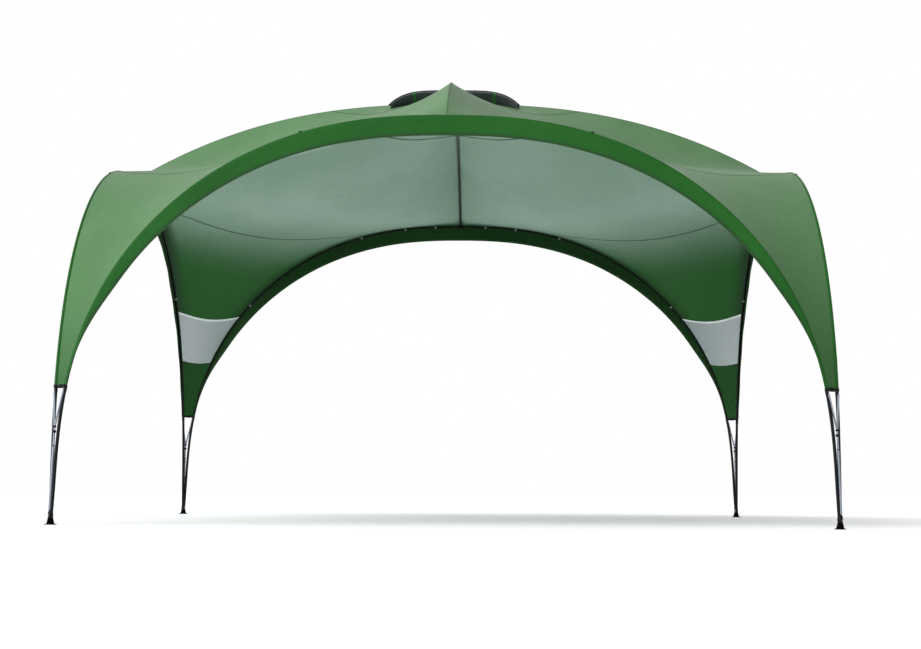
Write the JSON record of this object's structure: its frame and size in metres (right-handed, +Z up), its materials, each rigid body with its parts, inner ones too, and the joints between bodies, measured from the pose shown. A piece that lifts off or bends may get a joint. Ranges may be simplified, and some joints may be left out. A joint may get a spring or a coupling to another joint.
{
  "type": "camping shelter",
  "caption": "Square dome-shaped camping shelter: stretched green canopy with hanging valances over four arched poles and crossing ridge poles, on slim braced legs with flared feet.",
  "frame": {"origin": "centre of the footprint, on the ground", "axes": "+Z up; -Y is the front, the side with no mesh windows, seen in the picture; +X to the right seen from the front"},
  "size_m": [3.7026, 3.7026, 2.4447],
  "materials": {
    "canopy_cloth": "coated polyester, soft sheen",
    "corner_cloth": "coated polyester, soft sheen",
    "tip_cloth": "coated polyester, dark green",
    "valance_cloth": "coated polyester, dark green",
    "window_mesh": "fine light grey mesh",
    "vent_mesh": "black mesh with a dark rim",
    "strap_webbing": "woven webbing",
    "pole_steel": "dark powder coat, satin",
    "leg_steel": "grey powder coat, satin",
    "fitting_plastic": "black moulded",
    "foot_plastic": "black moulded"
  },
  "bodies": {
    "root": {"arch_pole_back": "pole_steel", "arch_pole_front": "pole_steel", "arch_pole_left": "pole_steel", "arch_pole_right": "pole_steel", "centre_hub": "fitting_plastic", "corner_panel_back_left": "corner_cloth", "corner_panel_back_right": "corner_cloth", "corner_panel_front_left": "corner_cloth", "corner_panel_front_right": "corner_cloth", "crown_clip_back": "fitting_plastic", "crown_clip_front": "fitting_plastic", "crown_clip_left": "fitting_plastic", "crown_clip_right": "fitting_plastic", "foot_back_left": "foot_plastic", "foot_back_right": "foot_plastic", "foot_front_left": "foot_plastic", "foot_front_right": "foot_plastic", "hem_strap_back_left": "strap_webbing", "hem_strap_back_right": "strap_webbing", "hem_strap_front_left": "strap_webbing", "hem_strap_front_right": "strap_webbing", "leg_frame_back_left": "leg_steel", "leg_frame_back_right": "leg_steel", "leg_frame_front_left": "leg_steel", "leg_frame_front_right": "leg_steel", "mesh_window_back_left": "window_mesh", "mesh_window_back_right": "window_mesh", "ridge_pole_back": "pole_steel", "ridge_pole_front": "pole_steel", "ridge_pole_left": "pole_steel", "ridge_pole_right": "pole_steel", "roof_panel_back_left": "canopy_cloth", "roof_panel_back_right": "canopy_cloth", "roof_panel_front_left": "canopy_cloth", "roof_panel_front_right": "canopy_cloth", "tip_panel_back_left": "tip_cloth", "tip_panel_back_right": "tip_cloth", "valance_back": "valance_cloth", "valance_front": "valance_cloth", "valance_left": "valance_cloth", "valance_right": "valance_cloth", "vent_cap": "canopy_cloth", "vent_face_back": "vent_mesh", "vent_face_front": "vent_mesh"}
  },
  "joints": []
}
